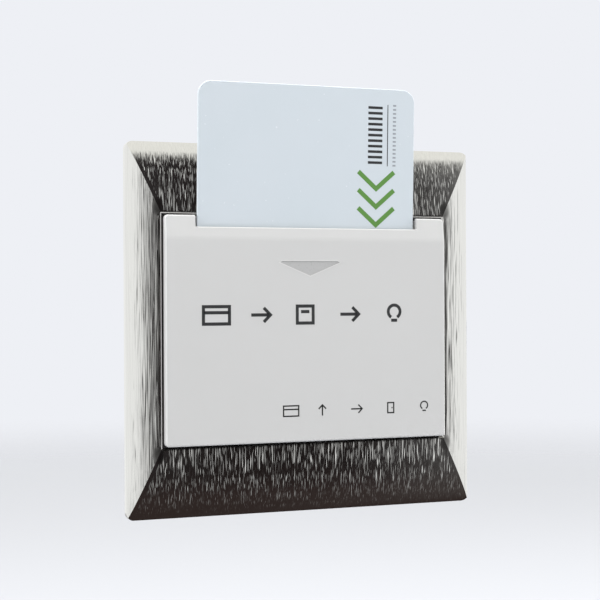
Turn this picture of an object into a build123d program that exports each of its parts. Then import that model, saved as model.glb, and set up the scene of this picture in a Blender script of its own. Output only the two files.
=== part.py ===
"""Hotel key card switch, an 86 mm wall plate with a card pocket.

Millimetres. X runs to the right, Z up, and the front faces -Y. The wall is the
plane y = 0, and the origin lies midway between the two wall box screws. Depths
are given as y, so what stands out of the wall has a negative y.
"""

import os
from math import atan, cos, sin

from build123d import *

os.makedirs("parts", exist_ok=True)

# Metal plate: its opening fits the cover, and its borders run round that
border_side = 7.8
border_end = 16.4
plate_corner_r = 1.8
skin = 0.8
plate_edge = 1.15
crown_run = 0.1
lip_height = 4.0
lip_chamfer = 0.4
lip_angle = 45
skin_gap = 0.15

# Card, the common bank card size
card_w = 53.98
card_h = 85.60
card_t = 0.76
card_corner_r = 3.18
card_edge_r = 0.12

# Card pocket
card_gap = 0.3
card_lip_gap = 0.2
card_foot_gap = 0.35
foot_reach = 2.0
floor_gap = 0.1
floor_t = 1.4
pocket_wall = 1.2
rail_wall = 1.3
rail_top_drop = 7.1
pocket_top_drop = 0.8
throat_gap = 0.05
pocket_side_gap = 0.4

# Raised cover
cover_gap = 0.35
cover_rise = 2.1
cover_wall = 1.5
face_wall = 0.75
cover_corner_r = 0.9
cover_edge_r = 0.35
bevel_drop = 0.7
bevel_height = 5.25
bevel_blend_r = 8.0
notch_drop = 2.65
notch_side_gap = 0.66
notch_edge_r = 0.15
throat_height = 6.6
roof_drop = 1.1
flange_w = 1.15
flange_h = 1.5
flange_t = 0.9
rib_w = 1.2
rib_spacing = 10.0
rib_count = 4
nose_relief_w = 6.0
nose_relief_depth = 0.85
nose_relief_reach = 2.4

# Arrow window in the cover
arrow_w = 15.2
arrow_h = 3.5
arrow_cut = 0.35
arrow_drop = 5.1
arrow_gap = 0.05
arrow_sink = 0.08

# Yoke and the two wall box screws
yoke_inset_side = 5.0
yoke_inset_end = 8.0
yoke_t = 2.2
yoke_corner_r = 3.0
screw_centres = 60.3
wall_hole_r = 2.0
wall_sink_r = 3.4
ear_h = 13.0
ear_round_r = 1.0
ear_margin = 0.6
ear_reach = 2.4
window_gap = 0.3
ear_gap = 0.4

# Carrier under the skin, with hooks that catch the yoke
yoke_side_gap = 0.2
web_gap = 0.1
flange_side_gap = 0.4
hook_x = 22.0
hook_inset = 2.6
hook_w = 6.0
hook_t = 1.2
hook_barb = 0.6
hook_depth = 1.9
barb_t = 0.8
hook_gap = 0.2

# Rear housing
joint_y = 5.0
part_back_gap = 0.6
housing_wall = 1.8
housing_corner_r = 3.0
housing_edge_r = 1.0
housing_top_inset = 0.5
housing_foot_inset = 0.7
skirt_wall = 1.6
screw_boss_r = 3.2
column_r = 4.2
column_inset = 4.2
column_seat = 11.0
vent_count = 5
vent_w = 1.6
vent_h = 13.0
vent_spacing = 4.2
vent_z = 9.5

# Small screws
thread_gap = 0.05
shank_gap = 0.15
head_gap = 0.25
m3_r = 1.5
m3_head_r = 2.75
m3_head_h = 2.0
m3_length = 9.5
m25_r = 1.25
m25_head_r = 2.2
m25_head_h = 1.5
m25_board_length = 6.5
m2_r = 1.0
m2_head_r = 1.8
m2_sink_h = 1.0
m2_length = 4.3
drive_w = 0.5
drive_share = 0.7
drive_depth = 0.5
head_dome_r = 0.4

# Lugs on the pocket base
lug_drop = 8.6
lug_h = 7.0
lug_gap = 0.36
lug_t = 1.4
sink_land = 0.15
boss_r = 2.0
boss_h = 2.9

# Circuit board and what stands on it
board_y = 11.8
board_t = 1.6
board_gap = 0.6
board_side_gap = 3.3
column_clear = 0.4
post_r = 2.4
post_side_inset = 5.8
post_side_rise = 15.4
post_top_drop = 5.7

# Microswitch
switch_w = 6.4
switch_h = 19.8
switch_depth = 10.2
switch_rise = 29.8
switch_round_r = 0.4
pivot_drop = 2.2
pivot_rise = 0.8
ear_r = 1.3
pin_r = 0.5
pin_gap = 0.05
eye_r = 1.0
lever_w = 4.0
lever_t = 0.45
lever_stand = 0.9
lever_end_rise = 6.0
nose_rise = 4.0
nose_r = 0.9
nose_gap = 0.3
slot_side_gap = 0.6
slot_over = 9.6
slot_under = 2.2
plunger_r = 0.9
plunger_drop = 5.6
plunger_sink = 3.2
plunger_gap = 0.05
plunger_side_gap = 0.06
leg_r = 0.45
leg_spacing = 7.4
leg_length = 3.0

# Locator light
light_drop = 1.3
led_r = 1.5
led_flange_r = 1.9
led_flange_h = 1.0
led_h = 5.2
led_dome_share = 0.93
guide_r = 2.4
guide_flange_r = 4.0
guide_flange_t = 1.0
guide_gap = 0.1
guide_led_gap = 0.3
socket_wall = 1.0

# Parts on the back of the board
relay_size = (19.0, 15.2, 15.5)
relay_side_gap = 0.9
relay_drop = 18.7
film_size = (18.0, 14.5, 8.5)
film_side_gap = 1.6
film_drop = 14.3
electrolytic_r = 4.0
electrolytic_h = 12.0
electrolytic_groove = 0.35
electrolytic_groove_y = 1.6
electrolytic_side_gap = 2.0
electrolytic_spacing = 9.4
electrolytic_drop = 24.1
varistor_r = 4.6
varistor_t = 3.6
varistor_x = -4.0
varistor_rise = 21.8
fuse_r = 1.9
fuse_l = 13.0
fuse_lift = 2.3
fuse_cap_l = 2.6
fuse_cap_t = 0.2
fuse_x = 8.0
fuse_rise = 19.8
chip_size = (6.2, 2.6, 9.6)
chip_x = 11.6
chip_rise = 20.4
chip_leg_w = 0.5
chip_lift = 0.3
chip_leg_reach = 1.3
chip_leg_spacing = 2.54
chip_leg_count = 4
round_small = 0.6

# Terminals
way_count = 4
way_spacing = 8.0
terminal_side_gap = 0.6
terminal_h = 12.1
terminal_depth = 13.6
terminal_inset = 0.3
wire_r = 1.75
wire_funnel = 0.4
terminal_face = 2.6
clamp_w = 6.2
clamp_h = 7.4
clamp_depth = 8.0
clamp_gap = 0.1
clamp_screw_length = 2.6
clamp_head_r = 2.3
clamp_head_h = 1.8
access_r = 2.6
terminal_window_gap = 0.3
terminal_web = 1.4

# One overrun serves every through cut
over = 1.0

# Widths from the inside out: the card's pocket, the electronics, the screw lugs
# beside them, the cover over those and the plate round the cover
channel_half = card_w / 2 + card_gap
rail_half = channel_half + rail_wall
terminal_w = way_count * way_spacing
housing_w = 2 * max(
    terminal_w / 2 + terminal_side_gap + column_r + column_inset,
    relay_side_gap + relay_size[0] + board_side_gap + housing_wall,
    film_side_gap + film_size[0] + board_side_gap + housing_wall,
)
window_half = max(rail_half, housing_w / 2) + window_gap
lug_x = window_half + sink_land + m2_head_r + shank_gap
cover_w = 2 * (lug_x + boss_r + lug_gap + cover_wall)
opening_w = cover_w + 2 * cover_gap
plate_size = opening_w + 2 * border_side
opening_h = plate_size - 2 * border_end
cover_h = opening_h - 2 * cover_gap
yoke_w = plate_size - 2 * yoke_inset_side
yoke_h = plate_size - 2 * yoke_inset_end

# Card plane, leaned so that the card clears the upper lip and its foot goes
# behind the lower border
half_opening = opening_h / 2
card_back_top = lip_height + card_lip_gap
card_front_foot = lip_height - skin - card_foot_gap
lean_slope = (card_back_top + card_t - card_front_foot) / opening_h
lean = atan(lean_slope)
card_foot_z = -(half_opening + foot_reach)


def card_back_y(z):
    """Depth of the card's back face at height z."""
    return -(card_back_top + (z - half_opening) * lean_slope)


card_plane = Plane(
    origin=(0, card_back_y(card_foot_z), card_foot_z),
    x_dir=(1, 0, 0),
    z_dir=(0, -cos(lean), -sin(lean)),
)


def card_v(z):
    """Distance up the card plane to height z."""
    return (z - card_foot_z) / cos(lean)


def wall_plane(y):
    """Plane parallel to the wall at depth y, which extrudes forward."""
    return Plane.XZ.offset(-y)


def top_plane(z):
    """Level plane at height z."""
    return Plane.XY.offset(z)


# Planes for sections, with the height above the wall as their second axis
section_across = Plane(origin=(0, 0, 0), x_dir=(1, 0, 0), z_dir=(0, 0, -1))
section_upright = Plane(origin=(0, 0, 0), x_dir=(0, 0, 1), z_dir=(1, 0, 0))

# Sizes that several pieces share
cover_face = lip_height + cover_rise
cover_back = yoke_t
cover_inside = cover_face - face_wall
notch_half = card_w / 2 + notch_side_gap
notch_z = cover_h / 2 - notch_drop
channel_front = card_t + card_gap
rail_top = half_opening - rail_top_drop
pocket_top = half_opening - pocket_top_drop
pocket_back = card_gap + pocket_wall
ear_x = min(screw_centres / 2 - wall_sink_r - ear_margin, window_half - ear_reach)
base_waist = ear_x - ear_gap
bevel_z = cover_h / 2 - bevel_height
bevel_y = -(cover_face - bevel_drop)
arrow_top = bevel_z - arrow_drop
light_z = arrow_top - light_drop
lug_z = half_opening - lug_drop
lug_reach = lug_x + boss_r - rail_half
housing_top = pocket_top - housing_top_inset
base_foot = card_foot_z - (floor_gap + floor_t) * cos(lean)
housing_foot = base_foot + housing_foot_inset
housing_h = housing_top - housing_foot
housing_mid = (housing_top + housing_foot) / 2
column_x = housing_w / 2 - column_inset
column_zs = (housing_top - column_inset, housing_foot + column_inset)
column_points = [(x, z) for x in (-column_x, column_x) for z in column_zs]
lug_points = [(x, z) for x in (-lug_x, lug_x) for z in (-lug_z, lug_z)]
board_back = board_y + board_t
tallest_part = max(relay_size[1], film_size[1], electrolytic_h, terminal_depth)
housing_inside = board_back + tallest_part + part_back_gap
housing_depth = housing_inside + housing_wall
switch_top = card_foot_z + switch_rise
switch_front = board_y - switch_depth
nose_z = card_foot_z + nose_rise
lever_end = card_foot_z + lever_end_rise
pivot_z = switch_top - pivot_drop
pivot_y = switch_front - pivot_rise
plunger_z = pivot_z - plunger_drop
lever_back = switch_front - lever_stand
post_side_x = housing_w / 2 - post_side_inset
post_side_z = housing_foot + post_side_rise
post_points = [
    (-post_side_x, post_side_z),
    (post_side_x, post_side_z),
    (0, housing_top - post_top_drop),
]
relay_place = (-relay_side_gap - relay_size[0] / 2, housing_top - relay_drop)
film_place = (film_side_gap + film_size[0] / 2, housing_top - film_drop)
electrolytic_x = electrolytic_r + electrolytic_side_gap
electrolytic_places = [
    (electrolytic_x, housing_top - electrolytic_drop),
    (electrolytic_x + electrolytic_spacing, housing_top - electrolytic_drop),
]
varistor_z = housing_foot + varistor_rise
fuse_z = housing_foot + fuse_rise
chip_place = (chip_x, housing_foot + chip_rise)


def crown_outline(width, mouth, edge, crown):
    """Section of the crowned plate: flat middle and elliptical borders, run past its sides."""
    half = width / 2 + crown_run
    border = half - mouth / 2
    with BuildSketch() as outline:
        with BuildLine():
            Line((-mouth / 2, crown), (mouth / 2, crown))
            EllipticalCenterArc((mouth / 2, edge), border, crown - edge, 0, arc_size=90)
            Polyline((half, edge), (half, 0), (-half, 0), (-half, edge))
            EllipticalCenterArc((-mouth / 2, edge), border, crown - edge, 90, arc_size=90)
        make_face()
    return outline.sketch


def crowned_block(inset):
    """Solid under a surface that lies inside the plate's outer one by inset."""
    size = plate_size - 2 * inset
    edge = plate_edge - inset / 2
    crown = lip_height - inset
    with BuildPart() as block:
        with BuildSketch(Plane.XZ):
            RectangleRounded(size, size, plate_corner_r - inset)
        extrude(amount=lip_height)
        with BuildSketch(section_across):
            add(crown_outline(size, opening_w, edge, crown))
        extrude(amount=size, both=True, mode=Mode.INTERSECT)
        with BuildSketch(section_upright):
            add(crown_outline(size, opening_h, edge, crown))
        extrude(amount=size, both=True, mode=Mode.INTERSECT)
    return block.part


# Brushed metal skin: four crowned borders that meet in mitres
with BuildPart() as bezel_frame:
    add(crowned_block(0))
    add(crowned_block(skin), mode=Mode.SUBTRACT)
    with BuildSketch(Plane.XZ):
        Rectangle(opening_w, opening_h)
    extrude(amount=lip_height + over, mode=Mode.SUBTRACT)
    with BuildSketch(wall_plane(lip_chamfer - lip_height)):
        Rectangle(opening_w, opening_h)
    extrude(amount=2 * lip_chamfer, taper=-lip_angle, mode=Mode.SUBTRACT)
bezel_frame.part.label = "bezel_frame"
export_step(bezel_frame.part, "parts/bezel_frame.step")

# Plastic carrier: ring beside the yoke, web in front of it, and four hooks
carrier_inset = skin + skin_gap
hook_z = yoke_h / 2 - hook_inset
hook_points = [(x, z) for x in (-hook_x, hook_x) for z in (-hook_z, hook_z)]
with BuildPart() as bezel_carrier:
    add(crowned_block(carrier_inset))
    with BuildSketch(Plane.XZ):
        RectangleRounded(
            yoke_w + 2 * yoke_side_gap, yoke_h + 2 * yoke_side_gap, yoke_corner_r
        )
    extrude(amount=yoke_t + web_gap, mode=Mode.SUBTRACT)
    with BuildSketch(Plane.XZ):
        Rectangle(
            cover_w + 2 * (flange_w + flange_side_gap),
            cover_h + 2 * (flange_h + flange_side_gap),
        )
        with Locations((0, base_foot - window_gap)):
            Rectangle(2 * window_half, half_opening, align=(Align.CENTER, Align.MIN))
    extrude(amount=lip_height, mode=Mode.SUBTRACT)
    with BuildSketch(wall_plane(hook_depth - yoke_t)):
        with Locations(*hook_points):
            Rectangle(hook_w, hook_t)
    extrude(amount=hook_depth + web_gap)
    for side in (-1, 1):
        with BuildSketch(wall_plane(hook_depth - yoke_t)):
            with Locations(*[(x, side * (hook_z + hook_barb / 2)) for x in (-hook_x, hook_x)]):
                Rectangle(hook_w, hook_t + hook_barb)
        extrude(amount=barb_t)
bezel_carrier.part.label = "bezel_carrier"
export_step(bezel_carrier.part, "parts/bezel_carrier.step")

# Yoke: flat ring with two ears that take the wall box screws
window_top = pocket_top + window_gap
window_foot = base_foot - window_gap
with BuildPart() as mounting_yoke:
    with BuildSketch(Plane.XZ):
        RectangleRounded(yoke_w, yoke_h, yoke_corner_r)
    extrude(amount=yoke_t)
    with BuildSketch(Plane.XZ) as window:
        with Locations((0, (window_top + window_foot) / 2)):
            Rectangle(2 * window_half, window_top - window_foot)
        with Locations((-window_half, 0), (window_half, 0)):
            Rectangle(2 * (window_half - ear_x), ear_h, mode=Mode.SUBTRACT)
        fillet(window.vertices(), ear_round_r)
    extrude(amount=yoke_t, mode=Mode.SUBTRACT)
    with Locations(wall_plane(-yoke_t)):
        with Locations((-screw_centres / 2, 0), (screw_centres / 2, 0)):
            CounterSinkHole(wall_hole_r, wall_sink_r)
    with Locations(Plane(origin=(0, 0, 0), x_dir=(1, 0, 0), z_dir=(0, 1, 0))):
        with Locations(*lug_points):
            CounterSinkHole(m2_r + shank_gap, m2_head_r + shank_gap)
    with BuildSketch(Plane.XZ):
        with Locations(*hook_points):
            Rectangle(hook_w + 2 * hook_gap, hook_t + 2 * hook_gap)
    extrude(amount=yoke_t, mode=Mode.SUBTRACT)
    for side in (-1, 1):
        with BuildSketch(Plane.XZ):
            with Locations(*[(x, side * (hook_z + hook_barb / 2)) for x in (-hook_x, hook_x)]):
                Rectangle(hook_w + 2 * hook_gap, hook_t + hook_barb + 2 * hook_gap)
        extrude(amount=yoke_t - hook_depth + barb_t + hook_gap, mode=Mode.SUBTRACT)
mounting_yoke.part.label = "mounting_yoke"
export_step(mounting_yoke.part, "parts/mounting_yoke.step")

# Pocket base: rear skirt, inclined back wall, rails, floor, lugs
with BuildPart() as pocket_base:
    with BuildSketch(wall_plane(joint_y)):
        with Locations((0, housing_mid)):
            RectangleRounded(housing_w, housing_h, housing_corner_r)
            Rectangle(
                housing_w - 2 * skirt_wall, housing_h - 2 * skirt_wall, mode=Mode.SUBTRACT
            )
        with Locations(*column_points):
            Circle(screw_boss_r)
        with Locations((0, light_z)):
            Circle(guide_flange_r + guide_gap + socket_wall)
            Circle(guide_flange_r + guide_gap, mode=Mode.SUBTRACT)
    extrude(amount=joint_y + card_back_top)
    with BuildSketch(wall_plane(joint_y)):
        with Locations(*column_points):
            Circle(m3_r + thread_gap)
    extrude(amount=joint_y - card_gap, mode=Mode.SUBTRACT)
    with BuildSketch(card_plane.offset(-pocket_back)):
        Rectangle(plate_size, 2 * plate_size)
    extrude(amount=plate_size, mode=Mode.SUBTRACT)
    with BuildSketch(card_plane.offset(-pocket_back)):
        with Locations((0, card_v(base_foot))):
            Rectangle(
                2 * rail_half, card_v(rail_top) - card_v(base_foot), align=(Align.CENTER, Align.MIN)
            )
            Rectangle(
                2 * channel_half, card_v(pocket_top) - card_v(base_foot), align=(Align.CENTER, Align.MIN)
            )
    extrude(amount=pocket_wall)
    for side in (-1, 1):
        with BuildSketch(card_plane.offset(-card_gap)):
            with Locations((side * (channel_half + rail_wall / 2), card_v(base_foot))):
                Rectangle(
                    rail_wall, card_v(rail_top) - card_v(base_foot), align=(Align.CENTER, Align.MIN)
                )
        extrude(amount=card_gap + channel_front)
    with BuildSketch(card_plane.offset(-card_gap)):
        with Locations((0, card_v(base_foot))):
            Rectangle(2 * rail_half, floor_t, align=(Align.CENTER, Align.MIN))
    extrude(amount=card_gap + card_t)
    for side in (-1, 1):
        with BuildSketch(wall_plane(-yoke_t)):
            with Locations(*[(side * (rail_half + lug_reach / 2), z) for z in (-lug_z, lug_z)]):
                Rectangle(lug_reach, lug_h)
            with Locations(*[(side * (channel_half + rail_wall / 2), z) for z in (-lug_z, lug_z)]):
                Rectangle(rail_wall, lug_h)
        extrude(amount=lug_t)
    with BuildSketch(wall_plane(-yoke_t)):
        with Locations(*lug_points):
            Circle(boss_r)
        with Locations(*[(x * (1 + rail_half / lug_x) / 2, z) for x, z in lug_points]):
            Rectangle(lug_x - rail_half, 2 * boss_r)
    extrude(amount=boss_h)
    with BuildSketch(wall_plane(-yoke_t)):
        with Locations(*lug_points):
            Circle(m2_r + thread_gap)
    extrude(amount=m2_length - yoke_t + thread_gap, mode=Mode.SUBTRACT)
    for side in (-1, 1):
        with BuildSketch(wall_plane(joint_y)):
            with Locations((side * base_waist, 0)):
                Rectangle(
                    plate_size, ear_h + 2 * ear_gap,
                    align=(Align.MIN if side > 0 else Align.MAX, Align.CENTER),
                )
        extrude(amount=joint_y + cover_face, mode=Mode.SUBTRACT)
    with BuildSketch(wall_plane(joint_y)):
        with Locations((0, nose_z - slot_under)):
            Rectangle(
                lever_w + 2 * slot_side_gap, slot_over + slot_under,
                align=(Align.CENTER, Align.MIN),
            )
    extrude(amount=joint_y + cover_face, mode=Mode.SUBTRACT)
    with BuildSketch(wall_plane(joint_y)):
        with Locations((0, light_z)):
            Circle(guide_r + guide_gap)
    extrude(amount=joint_y + cover_face, mode=Mode.SUBTRACT)
pocket_base.part.label = "pocket_base"
export_step(pocket_base.part, "parts/pocket_base.step")

# Raised cover: bevelled shell with a notch for the card, ribs and a throat inside
inner_top = cover_h / 2 - cover_wall - roof_drop / 2
throat_z = notch_z - throat_height
arrow_tip = arrow_top - arrow_h


def on_cover_rim(edge):
    """True for the edges round the front of the cover, but not those across it."""
    place = edge.center()
    at_side = abs(place.X) > cover_w / 2 - cover_corner_r
    at_end = abs(place.Z) > cover_h / 2 - cover_corner_r
    return place.Y < bevel_y + cover_edge_r and (at_side or at_end)


def arrow_outline(gap):
    """Flat downward arrow with cut ends, larger all round by gap."""
    half = arrow_w / 2 + gap * arrow_w / arrow_h
    with BuildSketch() as outline:
        with BuildLine():
            Polyline(
                (-half, arrow_top + gap - arrow_cut),
                (-half + 2 * arrow_cut, arrow_top + gap),
                (half - 2 * arrow_cut, arrow_top + gap),
                (half, arrow_top + gap - arrow_cut),
                (0, arrow_tip - gap),
                close=True,
            )
        make_face()
    return outline.sketch


with BuildPart() as front_cover:
    with BuildSketch(Plane.YZ):
        with BuildLine():
            Polyline(
                (-cover_back, -cover_h / 2),
                (-cover_face, -cover_h / 2),
                (-cover_face, bevel_z),
                (bevel_y, cover_h / 2),
                (-cover_back, cover_h / 2),
                close=True,
            )
        cover_side = make_face()
        fillet(cover_side.vertices().sort_by_distance((-cover_face, bevel_z))[0], bevel_blend_r)
    extrude(amount=cover_w / 2, both=True)
    fillet(front_cover.edges().filter_by(Axis.Y), cover_corner_r)
    fillet(front_cover.edges().filter_by(Axis.Y, reverse=True).filter_by(on_cover_rim), cover_edge_r)
    with BuildSketch(wall_plane(-cover_back)):
        Rectangle(cover_w + 2 * flange_w, cover_h + 2 * flange_h)
    extrude(amount=flange_t)
    with BuildSketch(Plane.YZ):
        with BuildLine():
            Polyline(
                (-cover_back, -cover_h / 2 + cover_wall),
                (-cover_inside, -cover_h / 2 + cover_wall),
                (-cover_inside, bevel_z - roof_drop),
                (bevel_y + roof_drop, inner_top),
                (-cover_back, inner_top),
                close=True,
            )
        make_face()
    extrude(amount=cover_w / 2 - cover_wall, both=True, mode=Mode.SUBTRACT)
    with BuildSketch(Plane.YZ):
        with Locations((-cover_back, throat_z)):
            Rectangle(cover_inside - cover_back, throat_height, align=(Align.MAX, Align.MIN))
    extrude(amount=notch_half, both=True)
    rib_foot = -cover_h / 2 + cover_wall
    with BuildSketch(wall_plane(-cover_back)):
        with Locations((0, (throat_z + rib_foot) / 2)):
            with GridLocations(rib_spacing, rib_spacing, rib_count, 1):
                Rectangle(rib_w, throat_z - rib_foot)
    extrude(amount=cover_inside - cover_back)
    with BuildSketch(card_plane.offset(channel_front + throat_gap)):
        Rectangle(2 * notch_half, 2 * card_h)
        with Locations((0, card_v(rib_foot + pocket_side_gap))):
            Rectangle(2 * (rail_half + pocket_side_gap), card_h, align=(Align.CENTER, Align.MAX))
    extrude(amount=-cover_face, mode=Mode.SUBTRACT)
    with BuildSketch(wall_plane(0)):
        with Locations((0, notch_z)):
            Rectangle(2 * notch_half, cover_h, align=(Align.CENTER, Align.MIN))
    extrude(amount=cover_face, mode=Mode.SUBTRACT)
    with BuildSketch(wall_plane(-cover_back)):
        with Locations((0, rib_foot)):
            Rectangle(nose_relief_w, 2 * nose_relief_depth)
    extrude(amount=nose_relief_reach, mode=Mode.SUBTRACT)
    with BuildSketch(wall_plane(-cover_inside)):
        add(arrow_outline(arrow_gap))
    extrude(amount=face_wall, mode=Mode.SUBTRACT)
    notch_edges = front_cover.edges().filter_by(Axis.X).filter_by(
        lambda edge: abs(edge.center().Z - notch_z) < thread_gap
    )
    fillet(notch_edges.sort_by(Axis.Y)[0], notch_edge_r)
front_cover.part.label = "front_cover"
export_step(front_cover.part, "parts/front_cover.step")

# Arrow window, let into the cover just under its face
with BuildPart() as arrow_window:
    with BuildSketch(wall_plane(-cover_inside)):
        add(arrow_outline(0))
    extrude(amount=face_wall - arrow_sink)
arrow_window.part.label = "arrow_window"
export_step(arrow_window.part, "parts/arrow_window.step")

# Plastic card, leaned in its pocket
with BuildPart() as key_card:
    with BuildSketch(card_plane):
        with Locations((0, card_h / 2)):
            RectangleRounded(card_w, card_h, card_corner_r)
    extrude(amount=card_t)
    chamfer(key_card.faces().sort_by(SortBy.AREA)[-2:].edges(), card_edge_r)
key_card.part.label = "key_card"
export_step(key_card.part, "parts/key_card.step")

# Locator light: a lamp on the board and a clear guide to the pocket wall
with BuildPart() as locator_led:
    with BuildSketch(wall_plane(board_y)):
        with Locations((0, light_z)):
            Circle(led_flange_r)
    extrude(amount=led_flange_h)
    with BuildSketch(wall_plane(board_y)):
        with Locations((0, light_z)):
            Circle(led_r)
    extrude(amount=led_h)
    fillet(locator_led.edges().sort_by(Axis.Y)[0], led_r * led_dome_share)
locator_led.part.label = "locator_led"
export_step(locator_led.part, "parts/locator_led.step")

guide_rear = board_y - led_h - guide_led_gap
guide_flange_front = card_back_y(light_z - guide_flange_r) + pocket_back + guide_gap
with BuildPart() as light_guide:
    with BuildSketch(wall_plane(guide_rear)):
        with Locations((0, light_z)):
            Circle(guide_r)
    extrude(amount=guide_rear + cover_face)
    with BuildSketch(wall_plane(guide_flange_front + guide_flange_t)):
        with Locations((0, light_z)):
            Circle(guide_flange_r)
    extrude(amount=guide_flange_t)
    with BuildSketch(card_plane.offset(-card_gap - guide_gap)):
        Rectangle(plate_size, 2 * plate_size)
    extrude(amount=plate_size, mode=Mode.SUBTRACT)
light_guide.part.label = "light_guide"
export_step(light_guide.part, "parts/light_guide.step")

# Rear housing: open box with screw columns, board posts and vents
terminal_foot = housing_foot + terminal_inset
terminal_y = board_back + terminal_depth
clamp_z = terminal_foot + terminal_face + clamp_gap + clamp_h / 2
way_xs = [(index - (way_count - 1) / 2) * way_spacing for index in range(way_count)]
clamp_points = [(x, clamp_z) for x in way_xs]
with BuildPart() as rear_housing:
    with BuildSketch(wall_plane(joint_y)):
        with Locations((0, housing_mid)):
            RectangleRounded(housing_w, housing_h, housing_corner_r)
    extrude(amount=joint_y - housing_depth)
    fillet(rear_housing.faces().sort_by(Axis.Y)[-1].edges(), housing_edge_r)
    with BuildSketch(wall_plane(joint_y)):
        with Locations((0, housing_mid)):
            RectangleRounded(
                housing_w - 2 * housing_wall,
                housing_h - 2 * housing_wall,
                housing_corner_r - housing_wall,
            )
    extrude(amount=joint_y - housing_inside, mode=Mode.SUBTRACT)
    with BuildSketch(wall_plane(joint_y)):
        with Locations(*column_points):
            Circle(column_r)
    extrude(amount=joint_y - housing_inside)
    with BuildSketch(wall_plane(board_back)):
        with Locations(*post_points):
            Circle(post_r)
    extrude(amount=board_back - housing_inside)
    with BuildSketch(wall_plane(joint_y)):
        with Locations(*column_points):
            Circle(m3_r + shank_gap)
    extrude(amount=joint_y - housing_depth, mode=Mode.SUBTRACT)
    with BuildSketch(wall_plane(column_seat)):
        with Locations(*column_points):
            Circle(m3_head_r + head_gap)
    extrude(amount=column_seat - housing_depth, mode=Mode.SUBTRACT)
    with BuildSketch(wall_plane(board_back)):
        with Locations(*post_points):
            Circle(m25_r + thread_gap)
    extrude(amount=-m25_board_length, mode=Mode.SUBTRACT)
    with BuildSketch(wall_plane(housing_inside)):
        with Locations(*clamp_points):
            Circle(access_r)
        with Locations((0, vent_z)):
            with GridLocations(vent_spacing, vent_spacing, vent_count, 1):
                SlotOverall(vent_h, vent_w, rotation=90)
    extrude(amount=-housing_wall, mode=Mode.SUBTRACT)
    with BuildSketch(top_plane(housing_foot)):
        with Locations((0, board_back + terminal_depth / 2)):
            Rectangle(
                terminal_w + 2 * terminal_window_gap, terminal_depth + 2 * terminal_window_gap
            )
    extrude(amount=housing_wall + over, mode=Mode.SUBTRACT)
rear_housing.part.label = "rear_housing"
export_step(rear_housing.part, "parts/rear_housing.step")

# Circuit board, cut round the columns
switch_mid = switch_top - switch_h / 2
leg_points = [(0, switch_mid + step * leg_spacing) for step in (-1, 0, 1)]
with BuildPart() as circuit_board:
    with BuildSketch(wall_plane(board_back)):
        with Locations((0, housing_mid)):
            Rectangle(
                housing_w - 2 * (housing_wall + board_gap), housing_h - 2 * (housing_wall + board_gap)
            )
        with Locations(*column_points):
            Circle(column_r + column_clear, mode=Mode.SUBTRACT)
            Rectangle(2 * column_inset, 2 * column_inset, mode=Mode.SUBTRACT)
        with Locations(*post_points):
            Circle(m25_r + shank_gap, mode=Mode.SUBTRACT)
        with Locations(*leg_points):
            Circle(leg_r + guide_gap, mode=Mode.SUBTRACT)
    extrude(amount=board_t)
circuit_board.part.label = "circuit_board"
export_step(circuit_board.part, "parts/circuit_board.step")

# Microswitch: body with two ears, legs, lever on its pin, plunger
ear_inner = lever_w / 2 + shank_gap
with BuildPart() as microswitch_body:
    with BuildSketch(wall_plane(board_y)):
        with Locations((0, switch_mid)):
            RectangleRounded(switch_w, switch_h, switch_round_r)
    extrude(amount=switch_depth)
    with BuildSketch(Plane.YZ):
        with Locations((pivot_y, pivot_z)):
            Circle(ear_r)
        with Locations(((pivot_y + board_y) / 2, pivot_z)):
            Rectangle(board_y - pivot_y, 2 * ear_r)
    extrude(amount=switch_w / 2, both=True)
    with BuildSketch(Plane.YZ):
        with Locations((pivot_y, pivot_z)):
            Circle(ear_r + shank_gap)
    extrude(amount=ear_inner, both=True, mode=Mode.SUBTRACT)
    with BuildSketch(Plane.YZ):
        with Locations((pivot_y, pivot_z)):
            Circle(pin_r + pin_gap)
    extrude(amount=switch_w / 2, both=True, mode=Mode.SUBTRACT)
    with BuildSketch(wall_plane(switch_front + plunger_sink)):
        with Locations((0, plunger_z)):
            Circle(plunger_r + plunger_side_gap)
    extrude(amount=plunger_sink, mode=Mode.SUBTRACT)
microswitch_body.part.label = "microswitch_body"
export_step(microswitch_body.part, "parts/microswitch_body.step")

with BuildPart() as microswitch_pins:
    with BuildSketch(wall_plane(board_y + leg_length)):
        with Locations(*leg_points):
            Circle(leg_r)
    extrude(amount=leg_length)
microswitch_pins.part.label = "microswitch_pins"
export_step(microswitch_pins.part, "parts/microswitch_pins.step")

nose_y = card_back_y(nose_z) + nose_gap + nose_r
with BuildPart() as microswitch_lever:
    with BuildSketch(Plane.YZ):
        with Locations((nose_y, nose_z)):
            Circle(nose_r)
        with Locations((lever_back - lever_t / 2, lever_end)):
            Circle(lever_t / 2)
        make_hull()
        with Locations((lever_back, lever_end)):
            Rectangle(lever_t, pivot_z - lever_end, align=(Align.MAX, Align.MIN))
        with Locations((pivot_y, pivot_z)):
            Circle(eye_r)
            Circle(pin_r + pin_gap, mode=Mode.SUBTRACT)
    extrude(amount=lever_w / 2, both=True)
microswitch_lever.part.label = "microswitch_lever"
export_step(microswitch_lever.part, "parts/microswitch_lever.step")

with BuildPart() as lever_pin:
    with BuildSketch(Plane.YZ):
        with Locations((pivot_y, pivot_z)):
            Circle(pin_r)
    extrude(amount=switch_w / 2, both=True)
lever_pin.part.label = "lever_pin"
export_step(lever_pin.part, "parts/lever_pin.step")

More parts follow.
